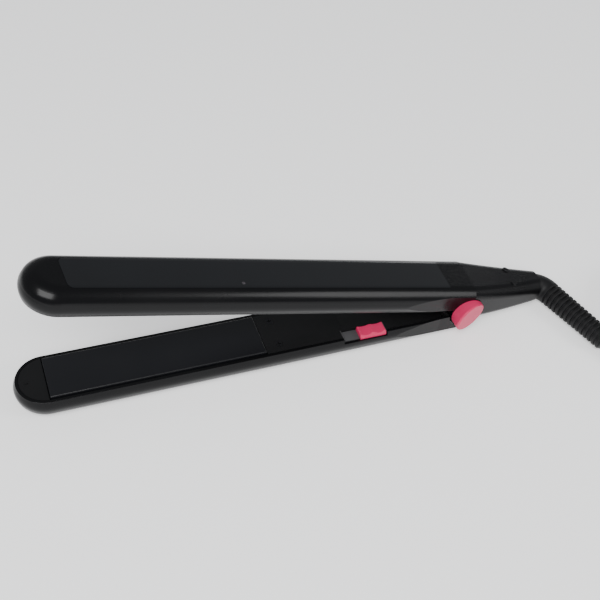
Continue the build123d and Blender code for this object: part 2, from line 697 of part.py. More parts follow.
def knuckle_screws():
    return [screw(x, y, KNUCKLE_BASE, 2.6) for x, y in KNUCKLE_SCREWS]


def lower_leads():
    """Wires from the heater to the switch, and from the heater and the switch to the hinge."""
    height = 7.1
    return [
        lead(heater_lead(-4) + [(-98, -4, height), (-82, STEM_Y, 6.8), (STEM_X - 10.6, STEM_Y, 6.8)]),
        lead(heater_lead(4) + [(-98, 4, height), (-44, 9.6, height + 0.3), (-14, 9.6, height + 0.3)]),
        lead([(STEM_X + 6.8, STEM_Y, 6.8), (-44, STEM_Y + 0.4, height + 0.3), (-14, -9.6, height + 0.3)]),
    ]


# ---------------------------------------------------------------- setting the iron down, open


def lowest(solid, turn):
    """How far below the hinge a solid reaches once it is turned about the hinge axis."""
    return (Rot(0, turn, 0) * solid).bounding_box().min.Z


def resting_tilt(lower, tail):
    """How far the lower arm tips for the tail's cover to reach the table: 0 if it never does."""
    tilt = 0.0
    span = PLATE_FRONT + TAIL_LENGTH
    for _ in range(4):
        drop = lowest(lower, -tilt) - lowest(tail, OPENING_ANGLE - tilt)
        tilt = max(0.0, tilt + math.degrees(math.atan(drop / span)))
    return tilt


def flipped(shape):
    """An upper-arm shape as it lies in the lower arm."""
    return mirror(shape, about=Plane.XY)


def group(shapes):
    return Compound(list(shapes))


# ---------------------------------------------------------------- strain relief and cord


def relief_path(start, along):
    """The strain relief's corner points and its tangent length at the elbow."""
    turn = math.radians(ELBOW_TURN)
    out = Vector(math.cos(turn), -math.sin(turn), 0)
    tangent = ELBOW_RADIUS * math.tan(math.radians(along.get_angle(out)) / 2)
    corner = start + along * (RELIEF_LEAD + tangent)
    return corner, corner + out * tangent, out


def strain_relief(place, start, along):
    """A rubber boot: a flange and neck in the tail, a smooth elbow, and a ribbed, tapered sleeve."""
    corner, sleeve_start, out = relief_path(start, along)
    elbow_path = FilletPolyline(start, corner, sleeve_start + out * 0.5, radius=ELBOW_RADIUS)
    first = Plane(elbow_path @ 0, z_dir=elbow_path % 0) * Circle(ELBOW_START_RADIUS)
    last = Plane(elbow_path @ 1, z_dir=elbow_path % 1) * Circle(ELBOW_END_RADIUS)
    elbow = sweep([first, last], path=elbow_path, multisection=True)
    pitch = RIBBED_LENGTH / RIB_COUNT
    profile = [(0, 0)]
    for i in range(RIB_COUNT):
        share = i / (RIB_COUNT - 1)
        radius = ELBOW_END_RADIUS + (RIB_TIP_RADIUS - ELBOW_END_RADIUS) * share
        base = i * pitch
        profile += [
            (radius - 0.35, base), (radius, base + 0.35), (radius, base + RIB_LENGTH - 0.35),
            (radius - 0.35, base + RIB_LENGTH), (RELIEF_CORE_RADIUS, base + RIB_LENGTH),
            (RELIEF_CORE_RADIUS, base + pitch),
        ]
    profile += [(0, RIBBED_LENGTH)]
    section = make_face(Polyline(*profile, close=True))
    sleeve = revolve(Plane.XZ * section, Axis.Z, 360)
    sleeve = Plane(origin=sleeve_start, x_dir=(0, 0, 1), z_dir=out) * sleeve
    neck = cross_hole(TAIL_LENGTH - 2.3, TAIL_LENGTH + 0.2, RELIEF_HOLE_RADIUS)
    flange = cross_hole(TAIL_LENGTH - 4.2, TAIL_LENGTH - 2.2, RELIEF_HOLE_RADIUS + 1.0)
    return place * (neck + flange) + elbow + sleeve


def corner_radii(points):
    """The largest smooth radius at each corner of a route."""
    radii = []
    for before, at, after in zip(points, points[1:], points[2:]):
        arriving, leaving = Vector(*at) - Vector(*before), Vector(*after) - Vector(*at)
        half_turn = math.radians(arriving.get_angle(leaving)) / 2
        radii.append(0.45 * min(arriving.length, leaving.length) / math.tan(half_turn))
    return radii


def cord_run(name, points):
    """A stretch of cord along its route, with its radii, length and volume printed."""
    radii = corner_radii(points)
    path = FilletPolyline(*points, radius=radii)
    tube = sweep(Plane(path @ 0, z_dir=path % 0) * Circle(CORD_RADIUS), path=path)
    expected = math.pi * CORD_RADIUS**2 * path.length
    print(name, "radii", [round(r, 1) for r in radii], "length", round(path.length, 1),
          "volume", round(tube.volume), "of", round(expected))
    return tube


COIL_AT = (227.0, -44.2)
COIL_RADIUS = 36.0  # to the middle of the bundle of turns
COIL_ROWS = 3  # turns side by side, and as many layers
TIE_WIDTH = 9.0
TIE_THICKNESS = 0.8
TIE_TURN = 130.0
BUNDLE = COIL_ROWS * 2 * CORD_RADIUS
CORD_LEAD = 12.0  # straight on from the strain relief
CORD_POINTS = [
    (178.0, -71.3, 4.9), (188.9, -80.0, 3.7), (202.2, -84.9, 3.1), (216.8, -86.2, 3.0),
]
CORD_TAIL_POINTS = [
    (218.7, -82.2, 15.0), (231.4, -82.2, 16.2), (243.1, -77.3, 18.6),
    (252.1, -68.3, 21.4), (257.0, -56.6, 23.6), (257.0, -43.9, 24.5),
]


def bundle_section(inset):
    side = BUNDLE - 2 * inset
    return Pos(COIL_RADIUS, BUNDLE / 2) * RectangleRounded(side, side, CORD_RADIUS - inset)


def coil_ring(inset, turn_from, turn):
    """The round bundle of cord turns, or a stretch of it."""
    ring = revolve(Plane.XZ * bundle_section(inset), Axis.Z, turn)
    return Pos(*COIL_AT, 0) * Rot(0, 0, turn_from) * ring


def coil_tie():
    """A strap wrapped round the bundle."""
    turn = math.degrees(TIE_WIDTH / COIL_RADIUS)
    return coil_ring(0, TIE_TURN, turn) - coil_ring(TIE_THICKNESS, TIE_TURN, turn)


def cord_coil():
    return coil_ring(0, 0, 360) - coil_tie()


PLUG_LENGTH = 28.0
PLUG_WIDTH = 26.0
PLUG_THICKNESS = 13.0
PLUG_BOOT = 9.0
PIN_SPACING = 19.0
PIN_LENGTH = 19.0
PLUG_PIN_RADIUS = 2.0
PIN_IN_BODY = 7.0


def plug_place():
    """Where the plug lies: on top of the coil, with its axis along +Y."""
    return Pos(*CORD_TAIL_POINTS[-1]) * Rot(0, 0, 90)


def plug_pins():
    pins = []
    for side in (-1, 1):
        x0, x1 = PLUG_BOOT + PLUG_LENGTH - PIN_IN_BODY, PLUG_BOOT + PLUG_LENGTH + PIN_LENGTH
        pin = Rot(0, 90, 0) * Cylinder(PLUG_PIN_RADIUS, x1 - x0)
        pin = fillet(pin.edges().sort_by(Axis.X)[-1], 1.2)
        pins.append(Pos((x0 + x1) / 2, side * PIN_SPACING / 2, 0) * pin)
    return plug_place() * group(pins)


def plug_body():
    """A flat moulded plug with a tapered back and a short boot for the cord."""
    half, end = PLUG_WIDTH / 2, PLUG_BOOT + PLUG_LENGTH
    side = [(PLUG_BOOT - 2, 6.0), (PLUG_BOOT + 9, half), (end, half)]
    plan = side + [(x, -y) for x, y in reversed(side)]
    body = Pos(0, 0, -PLUG_THICKNESS / 2) * extrude(make_face(Polyline(*plan, close=True)), PLUG_THICKNESS)
    body = fillet(body.edges().filter_by(Axis.Z), 1.8)
    body = fillet(body.faces().sort_by(Axis.Z)[0].edges() + body.faces().sort_by(Axis.Z)[-1].edges(), 1.2)
    boot = Rot(0, 90, 0) * Cone(CORD_RADIUS + 0.8, CORD_RADIUS + 2.4, PLUG_BOOT)
    body += Pos(PLUG_BOOT / 2, 0, 0) * boot
    for spot in (-PIN_SPACING / 2, PIN_SPACING / 2):
        hole = Rot(0, 90, 0) * Cylinder(PLUG_PIN_RADIUS, PIN_IN_BODY + 1)
        body -= Pos(end - PIN_IN_BODY + (PIN_IN_BODY + 1) / 2, spot, 0) * hole
    return plug_place() * body


# ---------------------------------------------------------------- the whole iron


def upper_arm_parts(tail):
    return {
        "upper_shell": upper_shell(),
        "upper_gloss_panel": gloss_panel(),
        "indicator_lens": indicator_lens(),
        "indicator_light": indicator_light(),
        "upper_heater_carrier": heater_carrier(),
        "upper_inner_cover": inner_cover(),
        "upper_plate_cushions": plate_cushions(),
        "circuit_board": circuit_board(),
        "board_parts": board_parts(),
        "upper_arm_screws": group(carrier_screws() + cover_screws() + board_screws()),
        "upper_heater_leads": group(upper_heater_leads()),
        "mains_leads": group(mains_leads()),
        "tail_housing": tail_housing(tail),
        "tail_cover": tail_cover(tail),
        "cord_clamp": cord_clamp(),
        "tail_screws": group(tail_screws()),
        "cord_end": cord_end(),
        "hinge_pin": hinge_pin(),
        "hinge_spring": hinge_spring(),
        "near_hinge_cap": hinge_cap(),
        "far_hinge_cap": far_pin_cover(),
    }


def plate_parts(arm, sensor, sensor_at):
    """A floating heat plate with what rides on it."""
    return {
        arm + "_heat_plate": heat_plate(),
        arm + "_heater": heater(),
        arm + "_heater_clip": heater_clip(),
        sensor: heat_sensor(sensor_at),
    }


def lower_arm_parts():
    return {
        "lower_shell": lower_shell(),
        "lower_inner_cover": lower_inner_cover(),
        "lower_heater_carrier": heater_carrier(),
        "lower_plate_cushions": plate_cushions(),
        "lower_arm_screws": group(carrier_screws() + cover_screws() + knuckle_screws()),
        "lower_leads": group(lower_leads()),
        "hinge_knuckle": hinge_knuckle(),
        "switch_base": switch_base(),
        "switch_body": switch_body(),
        "switch_slider": switch_slider(),
    }


def build():
    """Every part of the iron, open on the table, by name."""
    tail = tail_whole()
    upper = upper_arm_parts(tail) | plate_parts("upper", "temperature_sensor", 14.0)
    lower = lower_arm_parts() | plate_parts("lower", "thermal_fuse", -14.0)
    lower = {name: flipped(shape) for name, shape in lower.items()}

    tilt = resting_tilt(lower["lower_shell"], upper["tail_cover"])
    hinge_height = -lowest(lower["lower_shell"], -tilt)
    nose = (Rot(0, -tilt, 0) * lower["lower_shell"]).bounding_box().min.X
    tail_end = (Rot(0, OPENING_ANGLE - tilt, 0) * upper["tail_housing"]).bounding_box().max.X
    near, far = upper["near_hinge_cap"].bounding_box().min.Y, lower["lower_shell"].bounding_box().max.Y
    hinge = Pos(-(nose + tail_end) / 2, -(near + far) / 2, hinge_height)
    place_upper = hinge * Rot(0, OPENING_ANGLE - tilt, 0)
    place_lower = hinge * Rot(0, -tilt, 0)
    print("tilt", round(tilt, 4), "hinge", hinge.position, "upper turn", round(OPENING_ANGLE - tilt, 4))

    start = (place_upper * Pos(TAIL_LENGTH, 0, TAIL_MIDDLE)).position
    along = (place_upper * Pos(TAIL_LENGTH + 1, 0, TAIL_MIDDLE)).position - start
    corner, sleeve_start, out = relief_path(start, along)
    cord_start = sleeve_start + out * RIBBED_LENGTH
    print("cord starts at", cord_start, "heading", out)

    parts = {name: place_upper * shape for name, shape in upper.items()}
    parts |= {name: place_lower * shape for name, shape in lower.items()}
    parts["strain_relief"] = strain_relief(place_upper, start, along)
    lead_end = cord_start + out * CORD_LEAD
    parts["cord_tube"] = cord_run("cord_tube", [tuple(cord_start), tuple(lead_end)] + CORD_POINTS)
    parts["cord_coil"] = cord_coil()
    parts["coil_tie"] = coil_tie()
    parts["cord_tail"] = cord_run("cord_tail", CORD_TAIL_POINTS)
    parts["plug_body"] = plug_body()
    parts["plug_pins"] = plug_pins()
    return parts


def main():
    os.makedirs("parts", exist_ok=True)
    for name, shape in build().items():
        export_step(shape, os.path.join("parts", name + ".step"))


if __name__ == "__main__":
    main()
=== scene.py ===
"""A slim hinged flat iron, open on a pale floor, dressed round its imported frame.

The moving arms, plates, hinge, switch and tail are the frame's own parts and get their
finishes here. The mains cord, its tie, the plug's grip and the studio are made here.
"""

import logging
import math
from dataclasses import dataclass, field
from enum import Enum

import bpy
from mathutils import Matrix, Vector

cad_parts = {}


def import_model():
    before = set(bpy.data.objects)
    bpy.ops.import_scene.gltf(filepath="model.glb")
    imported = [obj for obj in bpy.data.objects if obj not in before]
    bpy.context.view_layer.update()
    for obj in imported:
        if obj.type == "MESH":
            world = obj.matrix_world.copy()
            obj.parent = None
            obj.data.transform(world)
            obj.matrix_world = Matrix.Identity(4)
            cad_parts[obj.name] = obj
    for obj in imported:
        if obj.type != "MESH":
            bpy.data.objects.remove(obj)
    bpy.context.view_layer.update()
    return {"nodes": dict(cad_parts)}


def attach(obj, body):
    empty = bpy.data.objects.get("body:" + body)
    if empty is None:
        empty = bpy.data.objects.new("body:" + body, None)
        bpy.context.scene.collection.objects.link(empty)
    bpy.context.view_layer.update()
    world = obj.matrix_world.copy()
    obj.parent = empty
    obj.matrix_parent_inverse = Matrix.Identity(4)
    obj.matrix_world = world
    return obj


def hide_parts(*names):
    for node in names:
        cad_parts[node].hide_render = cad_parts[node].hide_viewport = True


log = logging.getLogger("flat_iron")

Point = tuple[float, float, float]
Colour = tuple[float, float, float]


class Effect(Enum):
    """The shader node groups that several finishes share."""

    GRAIN = "moulded grain"
    HANDLING = "handling marks"


# ------------------------------------------------------------------ shared shader effects


def _socket(tree: bpy.types.NodeTree, name: str, kind: str, out: bool, value: float = 0.0) -> None:
    """Adds one named socket to a node group.

    Args:
        tree: The group.
        name: The socket's name.
        kind: Its type, such as NodeSocketFloat.
        out: True for an output.
        value: An input's default.
    """
    made = tree.interface.new_socket(
        name=name, in_out="OUTPUT" if out else "INPUT", socket_type=kind
    )
    if not out and kind == "NodeSocketFloat":
        made.default_value = value


def build_grain_group() -> bpy.types.NodeTree:
    """A fine spark-eroded texture, as on moulded plastic, with a slow change over it.

    Returns:
        The group, with outputs Height and Shade.
    """
    tree = bpy.data.node_groups.new(Effect.GRAIN.value, "ShaderNodeTree")
    _socket(tree, "Scale", "NodeSocketFloat", False, 2600.0)
    _socket(tree, "Patch Scale", "NodeSocketFloat", False, 40.0)
    _socket(tree, "Height", "NodeSocketFloat", True)
    _socket(tree, "Shade", "NodeSocketFloat", True)
    nodes, links = tree.nodes, tree.links
    given, out = nodes.new("NodeGroupInput"), nodes.new("NodeGroupOutput")
    place = nodes.new("ShaderNodeTexCoord")
    fine, patch = nodes.new("ShaderNodeTexNoise"), nodes.new("ShaderNodeTexNoise")
    fine.inputs["Detail"].default_value = 3.0
    patch.inputs["Detail"].default_value = 4.0
    for noise, scale in ((fine, "Scale"), (patch, "Patch Scale")):
        links.new(place.outputs["Object"], noise.inputs["Vector"])
        links.new(given.outputs[scale], noise.inputs["Scale"])
    links.new(fine.outputs["Fac"], out.inputs["Height"])
    links.new(patch.outputs["Fac"], out.inputs["Shade"])
    return tree


def build_handling_group() -> bpy.types.NodeTree:
    """Faint smears and dust specks that a handled gloss surface carries.

    Returns:
        The group, with outputs Roughness, Mask and Height.
    """
    tree = bpy.data.node_groups.new(Effect.HANDLING.value, "ShaderNodeTree")
    _socket(tree, "Low", "NodeSocketFloat", False, 0.08)
    _socket(tree, "High", "NodeSocketFloat", False, 0.2)
    _socket(tree, "Scale", "NodeSocketFloat", False, 22.0)
    for name in ("Roughness", "Mask", "Height"):
        _socket(tree, name, "NodeSocketFloat", True)
    nodes, links = tree.nodes, tree.links
    given, out = nodes.new("NodeGroupInput"), nodes.new("NodeGroupOutput")
    place = nodes.new("ShaderNodeTexCoord")
    stretch = nodes.new("ShaderNodeMapping")
    stretch.inputs["Scale"].default_value = (0.45, 1.0, 1.0)
    smear, ripple = nodes.new("ShaderNodeTexNoise"), nodes.new("ShaderNodeTexNoise")
    smear.inputs["Detail"].default_value = 5.0
    ripple.inputs["Detail"].default_value = 1.0
    ripple.inputs["Scale"].default_value = 65.0
    sharpen = nodes.new("ShaderNodeMapRange")
    sharpen.inputs["From Min"].default_value = 0.42
    sharpen.inputs["From Max"].default_value = 0.68
    spread = nodes.new("ShaderNodeMapRange")
    links.new(place.outputs["Object"], stretch.inputs["Vector"])
    links.new(stretch.outputs["Vector"], smear.inputs["Vector"])
    links.new(place.outputs["Object"], ripple.inputs["Vector"])
    links.new(given.outputs["Scale"], smear.inputs["Scale"])
    links.new(smear.outputs["Fac"], sharpen.inputs["Value"])
    links.new(sharpen.outputs["Result"], spread.inputs["Value"])
    links.new(given.outputs["Low"], spread.inputs["To Min"])
    links.new(given.outputs["High"], spread.inputs["To Max"])
    links.new(spread.outputs["Result"], out.inputs["Roughness"])
    links.new(sharpen.outputs["Result"], out.inputs["Mask"])
    links.new(ripple.outputs["Fac"], out.inputs["Height"])
    return tree


# ------------------------------------------------------------------ finishes


@dataclass(frozen=True)
class Finish:
    """One material: a Principled surface with grain and handling marks of its own."""

    name: str
    colour: Colour
    accent: Colour
    rough_low: float
    rough_high: float
    metallic: float = 0.0
    grain_scale: float = 2600.0
    grain_depth: float = 0.0
    grain_distance: float = 0.00002
    marks_scale: float = 22.0
    ripple_depth: float = 0.0
    ripple_distance: float = 0.0004
    coat: float = 0.0
    coat_rough: float = 0.05
    specular: float = 0.5
    sheen: float = 0.0

    def build(self) -> bpy.types.Material:
        """Makes the material.

        Returns:
            The material, ready to be assigned.
        """
        mat = bpy.data.materials.new(self.name)
        mat.use_nodes = True
        mat.diffuse_color = (*self.colour, 1.0)
        nodes, links = mat.node_tree.nodes, mat.node_tree.links
        surface = nodes["Principled BSDF"]
        surface.inputs["Metallic"].default_value = self.metallic
        surface.inputs["Coat Weight"].default_value = self.coat
        surface.inputs["Coat Roughness"].default_value = self.coat_rough
        surface.inputs["Specular IOR Level"].default_value = self.specular
        surface.inputs["Sheen Weight"].default_value = self.sheen
        grain, marks = nodes.new("ShaderNodeGroup"), nodes.new("ShaderNodeGroup")
        grain.node_tree = bpy.data.node_groups[Effect.GRAIN.value]
        marks.node_tree = bpy.data.node_groups[Effect.HANDLING.value]
        grain.inputs["Scale"].default_value = self.grain_scale
        marks.inputs["Low"].default_value = self.rough_low
        marks.inputs["High"].default_value = self.rough_high
        marks.inputs["Scale"].default_value = self.marks_scale
        tint = nodes.new("ShaderNodeMix")
        tint.data_type = "RGBA"
        tint.inputs["A"].default_value = (*self.colour, 1.0)
        tint.inputs["B"].default_value = (*self.accent, 1.0)
        links.new(grain.outputs["Shade"], tint.inputs["Factor"])
        links.new(tint.outputs["Result"], surface.inputs["Base Color"])
        links.new(marks.outputs["Roughness"], surface.inputs["Roughness"])
        ripple, pit = nodes.new("ShaderNodeBump"), nodes.new("ShaderNodeBump")
        ripple.inputs["Strength"].default_value = self.ripple_depth
        ripple.inputs["Distance"].default_value = self.ripple_distance
        pit.inputs["Strength"].default_value = self.grain_depth
        pit.inputs["Distance"].default_value = self.grain_distance
        links.new(marks.outputs["Height"], ripple.inputs["Height"])
        links.new(grain.outputs["Height"], pit.inputs["Height"])
        links.new(ripple.outputs["Normal"], pit.inputs["Normal"])
        links.new(pit.outputs["Normal"], surface.inputs["Normal"])
        return mat


@dataclass(frozen=True)
class ClearFinish:
    """Clear moulded plastic for the indicator's light pipe."""

    name: str
    colour: Colour

    def build(self) -> bpy.types.Material:
        """Makes the material.

        Returns:
            The material, ready to be assigned.
        """
        mat = bpy.data.materials.new(self.name)
        mat.use_nodes = True
        nodes, links = mat.node_tree.nodes, mat.node_tree.links
        surface = nodes["Principled BSDF"]
        surface.inputs["Transmission Weight"].default_value = 0.55
        surface.inputs["IOR"].default_value = 1.49
        surface.inputs["Base Color"].default_value = (*self.colour, 1.0)
        marks = nodes.new("ShaderNodeGroup")
        marks.node_tree = bpy.data.node_groups[Effect.HANDLING.value]
        marks.inputs["Low"].default_value = 0.12
        marks.inputs["High"].default_value = 0.3
        links.new(marks.outputs["Roughness"], surface.inputs["Roughness"])
        return mat


GLOSS_BLACK = Finish("gloss black casing", (0.0022, 0.0022, 0.0026), (0.0042, 0.0042, 0.0048),
                     0.22, 0.32, coat=0.04, coat_rough=0.15, specular=0.17, ripple_depth=0.03,
                     grain_depth=0.02)
PANEL_BLACK = Finish("high gloss insert", (0.0020, 0.0024, 0.0034), (0.0036, 0.0041, 0.0054),
                     0.06, 0.11, coat=0.2, coat_rough=0.04, specular=0.40, ripple_depth=0.05)
MATTE_BLACK = Finish("matte inner moulding", (0.0030, 0.0030, 0.0034), (0.0055, 0.0055, 0.0060),
                     0.44, 0.56, specular=0.3, grain_depth=0.35, grain_scale=3200.0)
RECESS_BLACK = Finish("heat-proof carrier", (0.0030, 0.0030, 0.0034), (0.0055, 0.0055, 0.0060),
                      0.38, 0.5, specular=0.3, grain_depth=0.25)
PLATE_COAT = Finish("ceramic plate coating", (0.0052, 0.0054, 0.0068), (0.0076, 0.0079, 0.0095),
                    0.30, 0.40, specular=0.32, grain_depth=0.10, grain_scale=5200.0,
                    marks_scale=9.0)
PINK = Finish("pink satin plastic", (0.56, 0.018, 0.090), (0.63, 0.028, 0.110),
              0.36, 0.46, coat=0.05, coat_rough=0.25, specular=0.3, grain_depth=0.10)
RECESS_GREY = Finish("grey switch recess", (0.042, 0.042, 0.044), (0.070, 0.070, 0.073),
                     0.45, 0.58, grain_depth=0.3)
STEEL = Finish("plain steel", (0.42, 0.42, 0.44), (0.52, 0.52, 0.53), 0.24, 0.38,
               metallic=1.0, grain_depth=0.08, grain_scale=1500.0)
BLACK_STEEL = Finish("blackened steel", (0.014, 0.014, 0.016), (0.030, 0.030, 0.033), 0.34, 0.5,
                     metallic=0.7, grain_depth=0.10, grain_scale=1500.0)
NICKEL = Finish("nickel-plated pins", (0.62, 0.60, 0.55), (0.70, 0.68, 0.64), 0.14, 0.26,
                metallic=1.0, grain_depth=0.05, grain_scale=1800.0)
RUBBER = Finish("flexible black rubber", (0.0045, 0.0045, 0.0050), (0.0085, 0.0085, 0.0090),
                0.38, 0.52, specular=0.22, grain_depth=0.22, grain_scale=2400.0, sheen=0.01)
CORD_BLACK = Finish("cord sheath", (0.0055, 0.0055, 0.0060), (0.0100, 0.0100, 0.0105),
                    0.30, 0.42, specular=0.45, grain_depth=0.15, grain_scale=1800.0)
SILICONE = Finish("silicone cushion", (0.30, 0.06, 0.04), (0.36, 0.08, 0.05), 0.5, 0.6,
                  grain_depth=0.15)
CERAMIC = Finish("ceramic heater", (0.62, 0.60, 0.55), (0.70, 0.68, 0.63), 0.5, 0.65,
                 grain_depth=0.2)
BOARD_GREEN = Finish("glass-fibre board", (0.02, 0.12, 0.05), (0.03, 0.16, 0.07), 0.3, 0.4,
                     grain_depth=0.1)
COMPONENT = Finish("component black", (0.012, 0.012, 0.012), (0.02, 0.02, 0.02), 0.35, 0.5,
                   grain_depth=0.1)
WIRE_SLEEVE = Finish("wire insulation", (0.42, 0.42, 0.40), (0.5, 0.5, 0.48), 0.4, 0.5,
                     grain_depth=0.1)
STRAP = Finish("woven strap", (0.012, 0.012, 0.013), (0.022, 0.022, 0.023), 0.6, 0.75,
               grain_depth=0.5, grain_scale=1400.0, sheen=0.2)
LIGHT_PIPE = ClearFinish("indicator light pipe", (0.10, 0.09, 0.10))


class Wardrobe:
    """Builds each finish once, and puts it on objects."""

    def __init__(self) -> None:
        """Builds the shared shader groups first, since the finishes use them."""
        build_grain_group()
        build_handling_group()
        self._made: dict[str, bpy.types.Material] = {}

    def get(self, finish: Finish | ClearFinish) -> bpy.types.Material:
        """The material of a finish, built on first use."""
        if finish.name not in self._made:
            self._made[finish.name] = finish.build()
        return self._made[finish.name]

    def dress(self, obj: bpy.types.Object, finish: Finish | ClearFinish) -> None:
        """Gives an object one material all over.

        Args:
            obj: A CAD node or a new piece.
            finish: What it is made of.
        """
        obj.data.materials.clear()
        obj.data.materials.append(self.get(finish))


# ------------------------------------------------------------------ small tools


def deselect_all() -> None:
    """Leaves object mode with nothing selected."""
    if bpy.context.mode != "OBJECT":
        bpy.ops.object.mode_set(mode="OBJECT")
    bpy.ops.object.select_all(action="DESELECT")


def settle(obj: bpy.types.Object) -> None:
    """Applies an object's place, turn and size, so that it sits at the origin."""
    deselect_all()
    obj.select_set(True)
    bpy.context.view_layer.objects.active = obj
    bpy.ops.object.transform_apply(location=True, rotation=True, scale=True)
    deselect_all()


# ------------------------------------------------------------------ the frame's own parts


@dataclass
class IronParts:
    """The CAD parts of the iron, grouped by what they are made of."""

    finishes: dict[str, Finish | ClearFinish] = field(default_factory=lambda: {
        "upper_shell": GLOSS_BLACK,
        "lower_shell": GLOSS_BLACK,
        "tail_housing": GLOSS_BLACK,
        "tail_cover": GLOSS_BLACK,
        "upper_gloss_panel": PANEL_BLACK,
        "upper_inner_cover": MATTE_BLACK,
        "lower_inner_cover": MATTE_BLACK,
        "hinge_knuckle": MATTE_BLACK,
        "cord_clamp": MATTE_BLACK,
        "upper_heater_carrier": RECESS_BLACK,
        "lower_heater_carrier": RECESS_BLACK,
        "upper_heat_plate": PLATE_COAT,
        "lower_heat_plate": PLATE_COAT,
        "near_hinge_cap": PINK,
        "far_hinge_cap": GLOSS_BLACK,
        "switch_slider": PINK,
        "switch_base": RECESS_GREY,
        "switch_body": COMPONENT,
        "indicator_lens": LIGHT_PIPE,
        "indicator_light": COMPONENT,
        "upper_heater": CERAMIC,
        "lower_heater": CERAMIC,
        "upper_heater_clip": STEEL,
        "lower_heater_clip": STEEL,
        "upper_arm_screws": BLACK_STEEL,
        "lower_arm_screws": BLACK_STEEL,
        "tail_screws": BLACK_STEEL,
        "hinge_pin": STEEL,
        "hinge_spring": STEEL,
        "upper_plate_cushions": SILICONE,
        "lower_plate_cushions": SILICONE,
        "temperature_sensor": COMPONENT,
        "thermal_fuse": COMPONENT,
        "board_parts": COMPONENT,
        "circuit_board": BOARD_GREEN,
        "upper_heater_leads": WIRE_SLEEVE,
        "lower_leads": WIRE_SLEEVE,
        "mains_leads": WIRE_SLEEVE,
        "cord_end": CORD_BLACK,
        "strain_relief": RUBBER,
        "plug_pins": NICKEL,
    })

    def dress(self, nodes: dict[str, bpy.types.Object], wardrobe: Wardrobe) -> None:
        """Puts each part's finish on it.

        Args:
            nodes: The frame's nodes by name.
            wardrobe: Where the materials come from.
        """
        for name, finish in self.finishes.items():
            wardrobe.dress(nodes[name], finish)
            log.info("%s: %s", name, finish.name)


# ------------------------------------------------------------------ the mains cord


@dataclass
class Coil:
    """The put-away length of the cord, wound in layers of turns that lie on each other."""

    centre: tuple[float, float] = (0.2270, -0.0442)
    radii: tuple[float, float, float] = (0.0299, 0.0360, 0.0421)
    heights: tuple[float, float, float] = (0.0030, 0.0091, 0.0152)
    start_turn: float = -103.6
    steps_per_turn: int = 18
    whole_turns: int = 7
    shift: float = 40.0  # degrees in which the cord moves over to its next turn
    exit_height: float = 0.0186

    def stations(self) -> list[tuple[float, float, float]]:
        """Where the cord changes its turn or its layer.

        Returns:
            (degrees from the start, radius, height), the values that hold from there on.
        """
        small, middle, large = self.radii
        low, mid, high = self.heights
        return [
            (0, large, low), (360, middle, low), (720, small, low),
            (1040, small, mid), (1360, middle, mid), (1680, large, mid),
            (2000, large, high), (2320, middle, high), (2525, middle, self.exit_height),
        ]

    def place(self, turned: float) -> Point:
        """The point of the winding at an angle from its start, in degrees."""
        stations = self.stations()
        radius, height = stations[0][1:]
        for at, next_radius, next_height in stations[1:]:
            done = min(max((turned - at + self.shift) / self.shift, 0.0), 1.0)
            ease = done * done * (3 - 2 * done)
            radius += ease * (next_radius - radius)
            height += ease * (next_height - height)
        angle = math.radians(self.start_turn + turned)
        # a smooth curve runs a little inside its control points
        radius /= math.cos(math.pi / self.steps_per_turn)
        return (
            self.centre[0] + radius * math.cos(angle),
            self.centre[1] + radius * math.sin(angle),
            height,
        )

    def points(self) -> list[Point]:
        """Every control point of the winding, in order."""
        step = 360.0 / self.steps_per_turn
        return [self.place(i * step) for i in range(1, self.whole_turns * self.steps_per_turn + 1)]


@dataclass
class MainsCord:
    """A round black mains cord, from its strain relief to the plug."""

    diameter: float = 0.006
    length: float = 1.75
    start: Point = (0.166668, -0.0450537, 0.0065615)
    heading: Point = (0.309017, -0.951057, 0.0)
    lead: float = 0.012
    lay_points: tuple[Point, ...] = (
        (0.1780, -0.0713, 0.0049), (0.1889, -0.0800, 0.0037),
        (0.2022, -0.0849, 0.0031), (0.2168, -0.0862, 0.0030),
    )
    tail_points: tuple[Point, ...] = (
        (0.2314, -0.0800, 0.0203), (0.2431, -0.0752, 0.0219), (0.2521, -0.0670, 0.0233),
        (0.2570, -0.0566, 0.0243), (0.2570, -0.0439, 0.0245),
    )
    coil: Coil = field(default_factory=Coil)

    def route(self) -> list[Point]:
        """The cord's control points from end to end."""
        lead_end = Vector(self.start) + Vector(self.heading) * self.lead
        return [self.start, tuple(lead_end), *self.lay_points, *self.coil.points(),
                *self.tail_points]

    def build(self, wardrobe: Wardrobe) -> bpy.types.Object:
        """Makes the cord as one smooth spline with a round section.

        Args:
            wardrobe: Where its material comes from.

        Returns:
            The curve object.
        """
        data = bpy.data.curves.new("mains_cord", "CURVE")
        data.dimensions = "3D"
        data.bevel_depth = self.diameter / 2
        data.bevel_resolution = 4
        data.resolution_u = 6
        data.use_fill_caps = True
        spline = data.splines.new("NURBS")
        route = self.route()
        spline.points.add(len(route) - 1)
        for control, place in zip(spline.points, route):
            control.co = (*place, 1.0)
        spline.order_u = 3
        spline.use_endpoint_u = True
        cord = bpy.data.objects.new("mains_cord", data)
        bpy.context.scene.collection.objects.link(cord)
        cord.data.materials.append(wardrobe.get(CORD_BLACK))
        return cord


